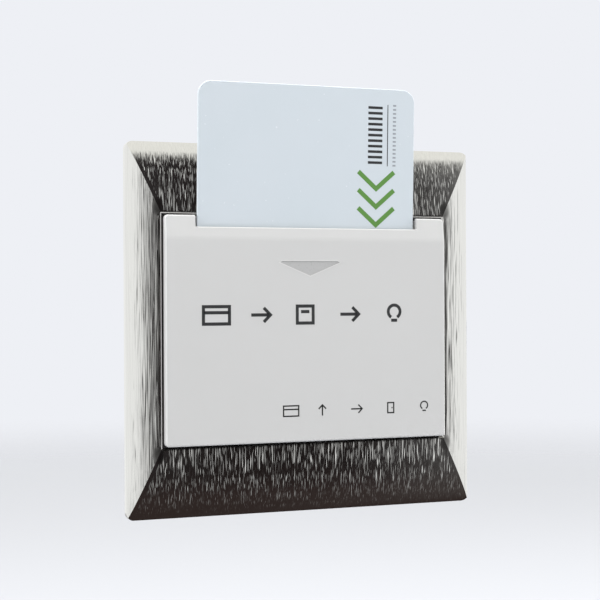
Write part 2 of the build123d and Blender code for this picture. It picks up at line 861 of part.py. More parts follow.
plunger_rear = switch_front + plunger_sink - shank_gap
with BuildPart() as microswitch_plunger:
    with BuildSketch(wall_plane(plunger_rear)):
        with Locations((0, plunger_z)):
            Circle(plunger_r)
    extrude(amount=plunger_rear - lever_back - plunger_gap)
    fillet(microswitch_plunger.edges().sort_by(Axis.Y)[0], plunger_r / 2)
microswitch_plunger.part.label = "microswitch_plunger"
export_step(microswitch_plunger.part, "parts/microswitch_plunger.step")


def board_block(size, place):
    """Rounded block of size across, depth and height, on the back of the board."""
    with BuildPart() as block:
        with BuildSketch(wall_plane(board_back)):
            with Locations(place):
                RectangleRounded(size[0], size[2], round_small)
        extrude(amount=-size[1])
        chamfer(block.faces().sort_by(Axis.Y)[-1].edges(), round_small / 2)
    return block.part


relay = board_block(relay_size, relay_place)
relay.label = "relay"
export_step(relay, "parts/relay.step")

film_capacitor = board_block(film_size, film_place)
film_capacitor.label = "film_capacitor"
export_step(film_capacitor, "parts/film_capacitor.step")

with BuildPart() as electrolytic_capacitors:
    with BuildSketch(wall_plane(board_back)):
        with Locations(*electrolytic_places):
            Circle(electrolytic_r)
    extrude(amount=-electrolytic_h)
    fillet(electrolytic_capacitors.edges().group_by(Axis.Y)[-1], round_small)
    with BuildSketch(wall_plane(board_back + electrolytic_groove_y)):
        with Locations(*electrolytic_places):
            Circle(electrolytic_r)
            Circle(electrolytic_r - electrolytic_groove, mode=Mode.SUBTRACT)
    extrude(amount=-2 * electrolytic_groove, mode=Mode.SUBTRACT)
electrolytic_capacitors.part.label = "electrolytic_capacitors"
export_step(electrolytic_capacitors.part, "parts/electrolytic_capacitors.step")

with BuildPart() as varistor:
    with BuildSketch(Plane.YZ.offset(varistor_x)):
        with Locations((board_back + varistor_r, varistor_z)):
            Circle(varistor_r)
    extrude(amount=varistor_t / 2, both=True)
    fillet(varistor.edges(), varistor_t / 4)
varistor.part.label = "varistor"
export_step(varistor.part, "parts/varistor.step")

with BuildPart() as fuse:
    with BuildSketch(Plane.YZ.offset(fuse_x)):
        with Locations((board_back + fuse_lift, fuse_z)):
            Circle(fuse_r)
    extrude(amount=fuse_l / 2, both=True)
    for side in (-1, 1):
        with BuildSketch(Plane.YZ.offset(fuse_x + side * (fuse_l - fuse_cap_l) / 2)):
            with Locations((board_back + fuse_lift, fuse_z)):
                Circle(fuse_r + fuse_cap_t)
            with Locations((board_back, fuse_z)):
                Rectangle(fuse_lift, fuse_r, align=(Align.MIN, Align.CENTER))
        extrude(amount=fuse_cap_l / 2, both=True)
fuse.part.label = "fuse"
export_step(fuse.part, "parts/fuse.step")

chip_leg_x = chip_size[0] / 2 + chip_leg_reach / 2
with BuildPart() as controller_chip:
    with BuildSketch(wall_plane(board_y)):
        with Locations(chip_place):
            with GridLocations(2 * chip_leg_x, chip_leg_spacing, 2, chip_leg_count):
                Rectangle(chip_leg_reach, chip_leg_w)
    extrude(amount=chip_size[1] / 2)
    with BuildSketch(wall_plane(board_y - chip_lift)):
        with Locations(chip_place):
            Rectangle(chip_size[0], chip_size[2])
    extrude(amount=chip_size[1] - chip_lift)
controller_chip.part.label = "controller_chip"
export_step(controller_chip.part, "parts/controller_chip.step")

# Terminal block with a clamp and a screw in each way
wire_y = board_back + terminal_web + clamp_gap + clamp_depth / 2
with BuildPart() as terminal_block:
    with BuildSketch(wall_plane(board_back)):
        with Locations((0, terminal_foot)):
            Rectangle(terminal_w, terminal_h, align=(Align.CENTER, Align.MIN))
    extrude(amount=-terminal_depth)
    with BuildSketch(wall_plane(terminal_y)):
        with Locations(*clamp_points):
            Rectangle(clamp_w + 2 * clamp_gap, clamp_h + 2 * clamp_gap)
    extrude(amount=terminal_depth - terminal_web, mode=Mode.SUBTRACT)
    with BuildSketch(top_plane(terminal_foot)):
        with Locations(*[(x, wire_y) for x in way_xs]):
            Circle(wire_r + shank_gap)
    extrude(amount=terminal_face, mode=Mode.SUBTRACT)
    chamfer(
        terminal_block.edges().filter_by(GeomType.CIRCLE).group_by(Axis.Z)[0], wire_funnel
    )
terminal_block.part.label = "terminal_block"
export_step(terminal_block.part, "parts/terminal_block.step")

clamp_rear = wire_y + clamp_depth / 2
with BuildPart() as terminal_clamps:
    with BuildSketch(wall_plane(clamp_rear)):
        with Locations(*clamp_points):
            Rectangle(clamp_w, clamp_h)
    extrude(amount=clamp_depth)
    with BuildSketch(top_plane(clamp_z - clamp_h / 2)):
        with Locations(*[(x, wire_y) for x in way_xs]):
            Circle(wire_r + shank_gap)
    extrude(amount=clamp_h, mode=Mode.SUBTRACT)
    with BuildSketch(wall_plane(clamp_rear)):
        with Locations(*clamp_points):
            Circle(m3_r + thread_gap)
    extrude(amount=clamp_depth / 2, mode=Mode.SUBTRACT)
terminal_clamps.part.label = "terminal_clamps"
export_step(terminal_clamps.part, "parts/terminal_clamps.step")


def turned_screw(head_r, head_h, shank_r, length, sunk):
    """Screw along Z with its head's seat, or a sunk head's top, at the origin."""
    tip = [(shank_r, -length), (0, -length)]
    if sunk:
        top = 0
        corners = [(0, 0), (head_r, 0), (shank_r, -head_h)] + tip
    else:
        top = head_h
        corners = [(0, top), (head_r, top), (head_r, 0), (shank_r, 0)] + tip
    with BuildPart() as screw:
        with BuildSketch(Plane.XZ):
            with BuildLine():
                Polyline(*corners, close=True)
            make_face()
        revolve(axis=Axis.Z)
        if not sunk:
            fillet(screw.edges().group_by(Axis.Z)[-1], head_dome_r)
        with BuildSketch(top_plane(top)):
            Rectangle(2 * head_r * drive_share, drive_w)
            Rectangle(drive_w, 2 * head_r * drive_share)
        extrude(amount=-drive_depth, mode=Mode.SUBTRACT)
    return screw.part


def screw_set(screw, points, y, heading):
    """One copy of a screw at each point, its head towards +Y or -Y by heading."""
    seats = [Plane(origin=(x, y, z), x_dir=(1, 0, 0), z_dir=(0, heading, 0)) for x, z in points]
    with BuildPart() as group:
        with Locations(*seats):
            add(screw)
    return group.part


base_screw = turned_screw(m2_head_r, m2_sink_h, m2_r, m2_length, True)
housing_screw = turned_screw(m3_head_r, m3_head_h, m3_r, m3_length, False)
board_screw = turned_screw(m25_head_r, m25_head_h, m25_r, m25_board_length, False)
clamp_screw = turned_screw(clamp_head_r, clamp_head_h, m3_r, clamp_screw_length, False)
screw_rows = (
    ("base_screws", base_screw, lug_points, 0, 1),
    ("housing_screws", housing_screw, column_points, column_seat, 1),
    ("board_screws", board_screw, post_points, board_y, -1),
    ("terminal_screws", clamp_screw, clamp_points, clamp_rear + clamp_gap, 1),
)
for name, screw, points, y, heading in screw_rows:
    screws = screw_set(screw, points, y, heading)
    screws.label = name
    export_step(screws, f"parts/{name}.step")
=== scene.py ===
"""Looks of the hotel key card switch: finishes, print, small trim, light and camera."""

from math import cos, degrees, pi, radians, sin

import bmesh
import bpy
from mathutils import Matrix, Vector


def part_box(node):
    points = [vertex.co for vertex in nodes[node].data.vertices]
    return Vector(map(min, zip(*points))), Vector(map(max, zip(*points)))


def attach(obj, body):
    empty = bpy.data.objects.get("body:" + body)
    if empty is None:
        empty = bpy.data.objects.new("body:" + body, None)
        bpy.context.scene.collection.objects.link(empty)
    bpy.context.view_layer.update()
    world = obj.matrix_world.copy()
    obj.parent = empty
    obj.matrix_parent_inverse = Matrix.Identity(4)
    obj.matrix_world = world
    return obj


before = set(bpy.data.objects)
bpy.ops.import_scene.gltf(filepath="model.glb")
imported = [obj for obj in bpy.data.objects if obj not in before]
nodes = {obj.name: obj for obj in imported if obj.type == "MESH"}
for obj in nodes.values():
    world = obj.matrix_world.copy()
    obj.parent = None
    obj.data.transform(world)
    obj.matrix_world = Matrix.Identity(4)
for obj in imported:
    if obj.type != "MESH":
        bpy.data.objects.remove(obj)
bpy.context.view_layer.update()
# The metal mirrors everything but the card
nodes["key_card"].visible_glossy = False
MM = 0.001

# Camera: place in mm, angles in degrees, focal length in pixels of the 600 px picture
camera_place = (-115.7, -309.6, 7.7)
camera_yaw = -20.44
camera_pitch = -0.16
camera_roll = 0.25
focal_px = 1391.0
frame_px = 600.0
sensor_mm = 36.0

# Metal frame, in mm: half its window, half its own size, and the front of its lip
window_half_w = 35.2
window_half_h = 26.6
plate_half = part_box("bezel_frame")[1].x / MM
lip_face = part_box("bezel_frame")[0].y / MM

# Cover, in mm: its face, its bevel from the bevel's foot to its top edge, and its slot
cover_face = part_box("front_cover")[0].y / MM
bevel_foot = 21.0
bevel_top = 26.25
bevel_drop = 0.7
slot_line = 23.6
slot_half = 27.0

# Card: how far its face leans back, and how thick it is in mm
card_lean = radians(2.27)
card_t = 0.76

# Print and trim: how far they stand proud of what carries them, in mm
print_rise = 0.012

# Range that holds most values of a noise
noise_low = 0.3
noise_high = 0.7

# Refractive indices
plastic_ior = 1.5
laminate_ior = 1.47
acrylic_ior = 1.49

# Brushing: features per mm, how much each direction counts, and at the sides how much of the
# height counts, so that streaks are longer there
streak_scale = 6.2
streak_stretch = (1.0, 0.3, 0.02)
hair_scale = 9.0
hair_stretch = (1.0, 0.3, 0.03)
side_run = 0.5

# How far streaks push the normal: softly, sharply from one height of wave to another, the share
# of the sharp ones that the sides have, and up or down
soft_lean = 0.55
sharp_lean = 0.4
sharp_wave = (0.13, 0.34)
sharp_side_share = 0.35
rise_lean = 0.2

# Mitres, as shares of a border's width: blend from one border to the other, and the strip
# without brushing, from its rise to its fall
mitre_blend = 0.03
strip_rise = (-0.02, 0.0)
strip_fall = (0.09, 0.15)

# Oval patch on the mitre at each corner of the window: middle and half size in mm from the window,
# and the squared distances over which it gets its brushing back and loses its painted shade
patch_out, patch_half_w = 0.8, 1.2
patch_up, patch_half_h = 1.6, 2.0
patch_brushing = (0.6, 1.5)
patch_painted_shade = (0.1, 1.7)
patch_shade_strength = 0.6

# Painted shade in a band round the window: where it ends in mm from the window, how it fades
# towards the mitres, and how dark it is
band_beside = (0.7, 1.5)
band_beyond = (0.4, 0.8)
band_fade = (-0.4, 0.0)
band_shade_strength = 0.7

# Painted shade in the gap round the cover, in mm: where the cover's rim starts, inwards from the
# window and over how much, and between which depths the painted shade gets dark
rim_inset = 0.9
rim_blend = 0.2
painted_shade_depths = (-4.7, -4.3)

# Studio world, in degrees to the right of straight ahead and up: the edges of its dark gap, the
# heights over which the tent and the dark change colour, and how the light falls off below
gap_left = (-30.0, 18.0)
gap_right = (23.0, 45.0)
gap_top = (25.0, 37.0)
tent_heights = (10.0, 40.0)
dark_heights = (-30.0, -10.0)
dusk_start = 9.0
dusk_fall = 9.0

# Lamps: name, place in mm, size in mm and power in watts. All of them aim at one point
lamp_aim = (0, 0, 0)
lamps = [
    ("key", (-1000, -120, 200), 400, 5.4),
    ("fill", (900, -120, 100), 400, 6.5),
    ("top", (0, -90, 520), 400, 4.0),
    ("back", (0, 700, 400), 600, 1.0),
]

# Floor, in mm: its level, its size, and over which distance it fades out
floor_level = -130
floor_radius = 1400
floor_corners = 96
floor_fade = (350.0, 1300.0)


def node(tree, kind, inputs=None, **settings):
    """One shader node: inputs are values or sockets by input name or number."""
    made = tree.nodes.new(kind)
    for key, value in settings.items():
        setattr(made, key, value)
    for key, value in (inputs or {}).items():
        socket = made.inputs[key]
        if isinstance(value, bpy.types.NodeSocket):
            tree.links.new(value, socket)
        else:
            socket.default_value = value
    return made


def math(tree, operation, a, b=0.0, c=0.0):
    """Result of a math node."""
    return node(tree, "ShaderNodeMath", {0: a, 1: b, 2: c}, operation=operation).outputs[0]


def smooth(tree, value, low, high, out_low=0.0, out_high=1.0):
    """Smooth step of a value between low and high."""
    made = node(
        tree,
        "ShaderNodeMapRange",
        {"Value": value, "From Min": low, "From Max": high, "To Min": out_low, "To Max": out_high},
        interpolation_type="SMOOTHSTEP",
    )
    return made.outputs["Result"]


def mix(tree, share, a, b):
    """Colour between a and b."""
    return node(tree, "ShaderNodeMix", {0: share, 6: a, 7: b}, data_type="RGBA").outputs[2]


def times(tree, a, b):
    """Two vectors multiplied part by part."""
    return node(tree, "ShaderNodeVectorMath", {0: a, 1: b}, operation="MULTIPLY").outputs[0]


def place_mm(tree, scale=(1, 1, 1)):
    """Position on the piece in mm, stretched by scale."""
    place = node(tree, "ShaderNodeTexCoord").outputs["Object"]
    return times(tree, place, [part / MM for part in scale])


def noise(tree, vector, scale, detail=2.0, roughness=0.5):
    """Noise over a position vector, features about 1 / scale wide."""
    inputs = {"Vector": vector, "Scale": scale, "Detail": detail, "Roughness": roughness}
    return node(tree, "ShaderNodeTexNoise", inputs).outputs["Fac"]


def uneven(tree, pattern, low, high):
    """Roughness that follows a noise from low to high."""
    return smooth(tree, pattern, noise_low, noise_high, low, high)


def bump(tree, height, distance_mm):
    """Normal bent by a height between 0 and 1 over distance_mm."""
    inputs = {"Height": height, "Distance": distance_mm * MM, "Strength": 1.0}
    return node(tree, "ShaderNodeBump", inputs).outputs["Normal"]


def new_material(name):
    """Material with its tree and its shader."""
    material = bpy.data.materials.new(name)
    material.use_nodes = True
    tree = material.node_tree
    return material, tree, tree.nodes["Principled BSDF"]


def link_surface(tree, shader, tone, roughness, normal=None):
    """Links colour, roughness and any bent normal to the shader."""
    tree.links.new(tone, shader.inputs["Base Color"])
    tree.links.new(roughness, shader.inputs["Roughness"])
    if normal is not None:
        tree.links.new(normal, shader.inputs["Normal"])


def rgba(colour):
    """Colour that covers fully."""
    return (*colour, 1.0)


def shade(colour, factor):
    """Colour made darker or lighter."""
    return rgba([part * factor for part in colour])


def moulded(name, colour, rough=0.4, grain=2.2, grain_depth=0.006, mottle=0.04):
    """Moulded plastic: fine spark-eroded grain, faint flow mottling, uneven gloss."""
    material, tree, shader = new_material(name)
    place = place_mm(tree)
    flow = noise(tree, place, scale=0.06, detail=3.0)
    fine = noise(tree, place, scale=grain, detail=3.0, roughness=0.6)
    tone = mix(tree, flow, shade(colour, 1 - mottle), shade(colour, 1 + mottle))
    gloss = uneven(tree, fine, rough - 0.05, rough + 0.07)
    link_surface(tree, shader, tone, gloss, bump(tree, fine, grain_depth))
    shader.inputs["IOR"].default_value = plastic_ior
    return material


def past_mitre(tree, across, up):
    """How far past the mitre: over 0 on the borders above and below, under 0 at the sides."""
    beside = math(tree, "SUBTRACT", across, window_half_w)
    beyond = math(tree, "SUBTRACT", up, window_half_h)
    side = math(tree, "DIVIDE", beside, plate_half - window_half_w)
    end = math(tree, "DIVIDE", beyond, plate_half - window_half_h)
    return math(tree, "SUBTRACT", end, side)


def off_corner(tree, across, up):
    """Squared distance from the window's corner, where 1 is the edge of the oval patch."""
    wide = math(tree, "SUBTRACT", across, window_half_w + patch_out)
    wide = math(tree, "DIVIDE", wide, patch_half_w)
    high = math(tree, "SUBTRACT", up, window_half_h + patch_up)
    high = math(tree, "DIVIDE", high, patch_half_h)
    return math(tree, "ADD", math(tree, "MULTIPLY", wide, wide), math(tree, "MULTIPLY", high, high))


def brushing_left(tree, past, far):
    """Share of the brushing that is left: none beside the mitres and in the window's corners."""
    fall = smooth(tree, past, *strip_fall, 1.0, 0.0)
    strip = math(tree, "MULTIPLY", fall, smooth(tree, past, *strip_rise))
    patch = smooth(tree, far, *patch_brushing, 1.0, 0.0)
    return math(tree, "SUBTRACT", 1.0, math(tree, "MAXIMUM", strip, patch))


def brushing(tree, past, on_end, far):
    """Pattern of the streaks, and how they push the surface's normal."""
    run = math(tree, "MULTIPLY_ADD", on_end, 1.0 - side_run, side_run)
    run = node(tree, "ShaderNodeCombineXYZ", {"X": 1.0, "Y": 1.0, "Z": run}).outputs[0]
    streak = noise(tree, times(tree, place_mm(tree, streak_stretch), run), streak_scale)
    hair = noise(tree, times(tree, place_mm(tree, hair_stretch), run), hair_scale, detail=1.0)
    wave = math(tree, "SUBTRACT", math(tree, "ADD", streak, hair), 1.0)
    sharp = smooth(tree, math(tree, "ABSOLUTE", wave), *sharp_wave, 0.0, sharp_lean)
    sharp = math(tree, "MULTIPLY", sharp, math(tree, "SIGN", wave))
    soft = math(tree, "MULTIPLY", wave, soft_lean)
    at_side = math(tree, "MULTIPLY_ADD", sharp, sharp_side_share, soft)
    lean = math(tree, "MULTIPLY", sharp, on_end)
    lean = math(tree, "MULTIPLY_ADD", at_side, math(tree, "SUBTRACT", 1.0, on_end), lean)
    lean = math(tree, "MULTIPLY", lean, brushing_left(tree, past, far))
    rise = math(tree, "MULTIPLY", math(tree, "SUBTRACT", hair, 0.5), rise_lean)
    return streak, node(tree, "ShaderNodeCombineXYZ", {"X": lean, "Z": rise}).outputs[0]


def window_painted_shade(tree, across, up, past, on_end, far):
    """Share of painted shade in a band round the window and in the patches at its corners."""
    beside = smooth(tree, math(tree, "SUBTRACT", across, window_half_w), *band_beside, 1.0, 0.0)
    beside = math(tree, "MULTIPLY", beside, smooth(tree, past, *band_fade, 1.0, 0.0))
    beyond = smooth(tree, math(tree, "SUBTRACT", up, window_half_h), *band_beyond, 1.0, 0.0)
    beyond = math(tree, "MULTIPLY", beyond, on_end)
    band = math(tree, "MULTIPLY", math(tree, "MAXIMUM", beside, beyond), band_shade_strength)
    return math(tree, "MAXIMUM", band, smooth(tree, far, *patch_painted_shade, patch_shade_strength, 0.0))


def brushed_nickel():
    """Mirror-like metal brushed upright: each streak leans the surface left or right."""
    material, tree, shader = new_material("brushed_nickel")
    parts = node(tree, "ShaderNodeSeparateXYZ", {0: place_mm(tree)}).outputs
    across = math(tree, "ABSOLUTE", parts[0])
    up = math(tree, "ABSOLUTE", parts[2])
    past = past_mitre(tree, across, up)
    on_end = smooth(tree, past, -mitre_blend, mitre_blend)
    far = off_corner(tree, across, up)
    streak, push = brushing(tree, past, on_end, far)
    flat = node(tree, "ShaderNodeNewGeometry").outputs["Normal"]
    bent = node(tree, "ShaderNodeVectorMath", {0: flat, 1: push}, operation="ADD").outputs[0]
    bent = node(tree, "ShaderNodeVectorMath", {0: bent}, operation="NORMALIZE").outputs[0]
    tone = mix(tree, streak, (0.72, 0.715, 0.70, 1.0), (0.88, 0.88, 0.86, 1.0))
    # Painted shade: a dark band round the window and dark patches at its corners
    dark = window_painted_shade(tree, across, up, past, on_end, far)
    tone = mix(tree, dark, tone, (0.06, 0.055, 0.05, 1.0))
    link_surface(tree, shader, tone, smooth(tree, streak, 0.2, 0.8, 0.09, 0.13), bent)
    shader.inputs["Metallic"].default_value = 1.0
    return material


def metal(name, colour, rough, scratch_scale=(1, 1, 1)):
    """Worked metal with fine scratches and patches of duller plating."""
    material, tree, shader = new_material(name)
    scratches = noise(tree, place_mm(tree, scratch_scale), scale=3.0, detail=3.0, roughness=0.6)
    patches = noise(tree, place_mm(tree), scale=0.5)
    tone = mix(tree, patches, shade(colour, 0.88), shade(colour, 1.06))
    gloss = uneven(tree, patches, rough - 0.06, rough + 0.1)
    link_surface(tree, shader, tone, gloss, bump(tree, scratches, 0.002))
    shader.inputs["Metallic"].default_value = 1.0
    return material


def card_laminate():
    """Pale blue card under a satin laminate, with light specks in the foil."""
    material, tree, shader = new_material("card_laminate")
    place = place_mm(tree)
    cloud = noise(tree, place, scale=0.05, detail=3.0)
    speck = smooth(tree, noise(tree, place, scale=1.1, detail=1.0), 0.76, 0.80)
    base = mix(tree, cloud, (0.551, 0.610, 0.653, 1.0), (0.586, 0.631, 0.678, 1.0))
    tone = mix(tree, math(tree, "MULTIPLY", speck, 0.35), base, (0.86, 0.88, 0.92, 1.0))
    dents = noise(tree, place, scale=0.35)
    link_surface(tree, shader, tone, uneven(tree, dents, 0.30, 0.40), bump(tree, dents, 0.01))
    shader.inputs["IOR"].default_value = laminate_ior
    shader.inputs["Coat Weight"].default_value = 0.3
    shader.inputs["Coat Roughness"].default_value = 0.2
    return material


def clear_plastic(name, colour, rough):
    """Clear or translucent moulding with faint streaks of flow inside."""
    material, tree, shader = new_material(name)
    flow = noise(tree, place_mm(tree, (1, 1, 0.3)), scale=0.8)
    tone = mix(tree, flow, shade(colour, 0.94), rgba(colour))
    link_surface(tree, shader, tone, uneven(tree, flow, rough, rough + 0.08))
    shader.inputs["Transmission Weight"].default_value = 0.6
    shader.inputs["IOR"].default_value = acrylic_ior
    return material


def board_laminate():
    """Glass fibre laminate under solder resist, with weave and copper tracks showing faintly."""
    material, tree, shader = new_material("board_laminate")
    place = place_mm(tree)
    warp, weft = (0.02, 0.16, 0.06, 1.0), (0.025, 0.2, 0.075, 1.0)
    checks = {"Vector": place, "Color1": warp, "Color2": weft, "Scale": 1.6}
    weave = node(tree, "ShaderNodeTexChecker", checks).outputs["Color"]
    rings = math(tree, "MULTIPLY", noise(tree, place, scale=0.25, detail=0.0), 9.0)
    tracks = smooth(tree, math(tree, "PINGPONG", rings, 0.5), 0.2, 0.3)
    tone = mix(tree, math(tree, "MULTIPLY", tracks, 0.35), weave, (0.08, 0.34, 0.13, 1.0))
    gloss = smooth(tree, tracks, 0, 1, 0.38, 0.28)
    link_surface(tree, shader, tone, gloss, bump(tree, tracks, 0.03))
    return material


def paint_gap_shade(material):
    """Painted shade in the gap round the cover, where its sides go down past the frame."""
    tree = material.node_tree
    socket = tree.nodes["Principled BSDF"].inputs["Base Color"]
    plain = socket.links[0].from_socket
    parts = node(tree, "ShaderNodeSeparateXYZ", {0: place_mm(tree)}).outputs
    across = math(tree, "ABSOLUTE", parts[0])
    up = math(tree, "ABSOLUTE", parts[2])
    to_side = math(tree, "SUBTRACT", across, window_half_w - rim_inset)
    to_end = math(tree, "SUBTRACT", up, window_half_h - rim_inset)
    rim = smooth(tree, math(tree, "MAXIMUM", to_side, to_end), 0.0, rim_blend)
    deep = smooth(tree, parts[1], *painted_shade_depths)
    # Painted shade: near black where the cover's rim goes deep into the gap
    tone = mix(tree, math(tree, "MULTIPLY", rim, deep), plain, (0.05, 0.045, 0.045, 1.0))
    tree.links.new(tone, socket)
    return material


def dress(material, *names):
    """Gives CAD nodes one material."""
    for name in names:
        mesh = nodes[name].data
        if mesh.materials:
            for index in range(len(mesh.materials)):
                nodes[name].material_slots[index].material = material
        else:
            mesh.materials.append(material)


def dress_front():
    """Metal frame, cover, arrow and card."""
    dress(brushed_nickel(), "bezel_frame")
    grain = {"grain": 2.4, "grain_depth": 0.004, "mottle": 0.012}
    cover = moulded("cover_plastic", (0.544, 0.544, 0.543), rough=0.38, **grain)
    dress(paint_gap_shade(cover), "front_cover")
    grain = {"grain": 1.5, "grain_depth": 0.002, "mottle": 0.02}
    arrow = moulded("arrow_plastic", (0.428, 0.428, 0.429), rough=0.3, **grain)
    dress(arrow, "arrow_window")
    dress(card_laminate(), "key_card")


def dress_body():
    """Frames and boxes behind the front."""
    dress(moulded("carrier_plastic", (0.04, 0.04, 0.042), rough=0.5), "bezel_carrier")
    dress(moulded("yoke_plastic", (0.46, 0.46, 0.44), rough=0.45), "mounting_yoke")
    dress(moulded("base_plastic", (0.24, 0.24, 0.25), rough=0.5), "pocket_base")
    dress(moulded("housing_plastic", (0.36, 0.36, 0.345), rough=0.45), "rear_housing")


def dress_electronics():
    """Terminals, microswitch, board, what stands on it, and the light."""
    dress(moulded("terminal_plastic", (0.03, 0.16, 0.06), rough=0.42), "terminal_block")
    dress(moulded("switch_plastic", (0.02, 0.02, 0.02), rough=0.42), "microswitch_body")
    dress(moulded("plunger_plastic", (0.40, 0.02, 0.015), rough=0.3), "microswitch_plunger")
    case = moulded("relay_plastic", (0.015, 0.10, 0.36), rough=0.28, grain=1.2, grain_depth=0.002)
    dress(case, "relay")
    film = moulded("film_plastic", (0.55, 0.38, 0.03), rough=0.3, grain=1.2, grain_depth=0.003)
    dress(film, "film_capacitor")
    sleeve = moulded("can_sleeve", (0.02, 0.025, 0.05), rough=0.25, grain=0.8, grain_depth=0.002)
    dress(sleeve, "electrolytic_capacitors")
    resin = moulded("varistor_resin", (0.02, 0.06, 0.26), rough=0.3, grain=0.7, grain_depth=0.03)
    dress(resin, "varistor")
    dress(moulded("fuse_ceramic", (0.68, 0.68, 0.62), rough=0.4), "fuse")
    dress(moulded("chip_resin", (0.02, 0.02, 0.02), rough=0.5), "controller_chip")
    dress(clear_plastic("led_resin", (0.75, 0.88, 0.80), rough=0.1), "locator_led")
    dress(clear_plastic("guide_acrylic", (0.90, 0.93, 0.95), rough=0.08), "light_guide")
    dress(board_laminate(), "circuit_board")


def dress_metals():
    """Screws, clamps, pins, lever and its pin."""
    steel = metal("zinc_steel", (0.62, 0.62, 0.62), rough=0.3)
    dress(steel, "base_screws", "housing_screws", "board_screws", "terminal_screws")
    dress(metal("brass", (0.66, 0.46, 0.18), rough=0.3), "terminal_clamps")
    dress(metal("tinned_brass", (0.64, 0.58, 0.42), rough=0.32), "microswitch_pins")
    spring = metal("spring_steel", (0.56, 0.56, 0.57), rough=0.28, scratch_scale=(1, 0.2, 0.2))
    dress(spring, "microswitch_lever", "lever_pin")


def on_cover(x, z, rise):
    """Point on the cover's face in metres, standing proud by rise in mm."""
    return Vector((x, cover_face - rise, z)) * MM


def on_bevel(x, z, rise):
    """Point on the cover's bevel above its face."""
    slope = bevel_drop / (bevel_top - bevel_foot)
    return Vector((x, cover_face + (z - bevel_foot) * slope - rise, z)) * MM


def on_front(x, z, rise):
    """Point on the front of the cover, on its face or its bevel."""
    return on_bevel(x, z, rise) if z > bevel_foot else on_cover(x, z, rise)


def on_lip(x, z, rise):
    """Point on the front of the metal frame's lip."""
    return Vector((x, lip_face - rise, z)) * MM


def on_card(x, z, rise):
    """Point on the leaning face of the card."""
    low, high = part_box("key_card")
    edge_z = high.z / MM - card_t * sin(card_lean)
    down = (edge_z - z) / cos(card_lean)
    return Vector((x, low.y / MM + down * sin(card_lean) - rise, z)) * MM


def stroke(mesh, place, points, width, closed):
    """Thin closed band of print along a line, mitred at its corners."""
    line = [Vector(point) for point in points]
    rows = []
    for index, point in enumerate(line):
        last = index == len(line) - 1
        after = line[0 if last else index + 1] - point
        before = point - line[index - 1]
        if not closed and last:
            after = before
        if not closed and index == 0:
            before = after
        side_in = Vector((-before.y, before.x)).normalized()
        side_out = Vector((-after.y, after.x)).normalized()
        side = (side_in + side_out).normalized()
        reach = side * (width / 2 / side.dot(side_in))
        left, right = point + reach, point - reach
        corners = [(left, 1), (left, -1), (right, -1), (right, 1)]
        spots = [place(spot.x, spot.y, up * print_rise) for spot, up in corners]
        rows.append([mesh.verts.new(spot) for spot in spots])
    runs = list(zip(rows, rows[1:] + rows[:1]))
    if not closed:
        runs = runs[:-1]
        mesh.faces.new(rows[0])
        mesh.faces.new(reversed(rows[-1]))
    for row, following in runs:
        for index in range(4):
            other = (index + 1) % 4
            mesh.faces.new((row[index], row[other], following[other], following[index]))


def print_piece(name, place, lines, material, body):
    """Piece of print from lines, each one its points, its width and whether it is closed."""
    mesh = bmesh.new()
    for points, width, closed in lines:
        stroke(mesh, place, points, width, closed)
    bmesh.ops.recalc_face_normals(mesh, faces=mesh.faces)
    data = bpy.data.meshes.new(name)
    mesh.to_mesh(data)
    mesh.free()
    data.materials.append(material)
    piece = bpy.data.objects.new(name, data)
    bpy.context.scene.collection.objects.link(piece)
    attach(piece, body)


def arc(centre, radius, start, end, count=20):
    """Points of an arc, angles in degrees."""
    steps = [radians(start + (end - start) * index / count) for index in range(count + 1)]
    return [(centre[0] + radius * cos(turn), centre[1] + radius * sin(turn)) for turn in steps]


def open_line(*points):
    """Line of a sign with two ends."""
    return list(points), False


def outline(half_w, half_h):
    """Closed rectangle round the middle of a sign."""
    return [(-half_w, -half_h), (half_w, -half_h), (half_w, half_h), (-half_w, half_h)], True


# Signs, drawn in a square of one unit
signs = {
    "card": [outline(0.72, 0.46), open_line((-0.68, 0.14), (0.68, 0.14))],
    "up": [open_line((0, -0.5), (0, 0.36)), open_line((-0.36, 0.1), (0, 0.46), (0.36, 0.1))],
    "right": [open_line((-0.55, 0), (0.44, 0)), open_line((0.16, 0.38), (0.54, 0), (0.16, -0.38))],
    "switch": [outline(0.46, 0.46), open_line((-0.24, 0.16), (0.24, 0.16))],
    "lamp": [open_line(*arc((0, 0.12), 0.36, -60, 240)), open_line((-0.18, -0.36), (0.18, -0.36))],
    "door": [outline(0.3, 0.46), open_line((0.08, 0), (0.18, 0))],
}

# Grain of print and of the painted highlight strips
fine_grain = {"grain": 3.0, "grain_depth": 0.001}

# Rows of signs on the cover, each sign with its place across in mm
upper_row = [("card", -22.9), ("right", -12.2), ("switch", -1.3), ("right", 9.9), ("lamp", 21.4)]
lower_row = [("card", -4.9), ("up", 2.9), ("right", 11.6), ("door", 20.4), ("lamp", 29.2)]


def sign_row(row, z, size, width):
    """Lines of a row of signs, in mm."""
    lines = []
    for name, x in row:
        for points, closed in signs[name]:
            lines.append(([(x + u * size, z + v * size) for u, v in points], width, closed))
    return lines


def chevrons(middle, half_w, foot, rise, pitch, count, width):
    """Chevrons one above the other that point down, in mm."""
    lines = []
    for tip in [foot + pitch * step for step in range(count)]:
        points = [(middle - half_w, tip + rise), (middle, tip), (middle + half_w, tip + rise)]
        lines.append((points, width, False))
    return lines


def ladder(left, right, foot, pitch, count, width):
    """Short level bars one above the other, in mm."""
    heights = [foot + pitch * step for step in range(count)]
    return [([(left, z), (right, z)], width, False) for z in heights]


def add_cover_signs(grey):
    """Generic signs where the cover is printed."""
    black = moulded("print_black", (0.012, 0.012, 0.012), rough=0.5, mottle=0.15, **fine_grain)
    upper = sign_row(upper_row, z=3.4, size=4.3, width=0.75)
    print_piece("cover_signs_upper", on_cover, upper, grey, "root")
    lower = sign_row(lower_row, z=-19.0, size=2.6, width=0.32)
    print_piece("cover_signs_lower", on_cover, lower, black, "root")


